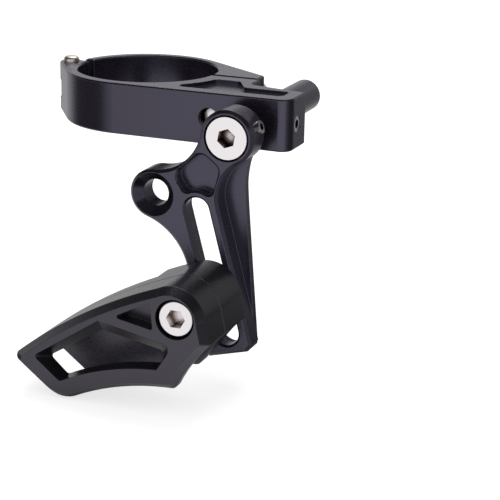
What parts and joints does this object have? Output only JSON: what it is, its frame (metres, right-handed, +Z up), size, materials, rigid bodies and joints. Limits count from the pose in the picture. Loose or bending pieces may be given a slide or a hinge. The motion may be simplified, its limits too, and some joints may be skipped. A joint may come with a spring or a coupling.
{
  "type": "bicycle chain guide",
  "caption": "Bicycle chain guide: hinged seat tube clamp, sliding shaft, slotted arm and a roofed two-half cage that the chain runs through.",
  "frame": {"origin": "middle of the clamp's bore, half way up the clamp", "axes": "+Z up along the seat tube, -Y out of the clamp's flat front towards the cage, +X along the clamp's block"},
  "size_m": [0.0696, 0.0768, 0.0684],
  "materials": {
    "black_anodised": "bead-blasted black anodised",
    "black_nylon": "moulded, finely grained",
    "stainless": "satin",
    "nickel_pin": "nickel plated"
  },
  "bodies": {
    "clamp": {"clamp_base": "black_anodised", "hinge_pin": "nickel_pin", "shaft_set_screw": "stainless"},
    "hinged_half": {"swing_arm": "black_anodised"},
    "clamp_screw": {"clamp_bolt": "stainless"},
    "shaft": {"slide_shaft": "black_anodised", "arm_bolt": "stainless"},
    "arm": {"guide_arm": "black_anodised", "boss_set_screw": "stainless"},
    "slot_bolt": {"cage_bolt": "stainless", "slot_nut": "stainless"},
    "cage": {"cage_outer": "black_nylon", "cage_inner": "black_nylon"}
  },
  "joints": [
    {"name": "clamp_hinge", "type": "hinge", "parent": "clamp", "child": "hinged_half", "pos_m": [-0.0214, 0, 0], "axis": [0, 0, 1], "range_deg": [0, 5]},
    {"name": "clamp_bolt_travel", "type": "slide", "parent": "clamp", "child": "clamp_screw", "axis": [0, 1, 0], "range_m": [0, 0.0046]},
    {"name": "chainline_slide", "type": "slide", "parent": "clamp", "child": "shaft", "axis": [0, 1, 0], "range_m": [-0.022, 0.0044]},
    {"name": "arm_swing", "type": "hinge", "parent": "shaft", "child": "arm", "pos_m": [0.0344, -0.0288, -0.0013], "axis": [0, 1, 0], "range_deg": [-40, 30]},
    {"name": "cage_slide", "type": "slide", "parent": "arm", "child": "slot_bolt", "axis": [0.2622, 0, -0.965], "range_m": [-0.0155, 0.0075]},
    {"name": "cage_tilt", "type": "hinge", "parent": "slot_bolt", "child": "cage", "pos_m": [0.03226, -0.044, -0.03742], "axis": [0, 1, 0], "range_deg": [-40, 40]}
  ],
  "couplings": [
    {"joint": "clamp_bolt_travel", "follows": "clamp_hinge", "m_per_rad": 0.0516}
  ]
}
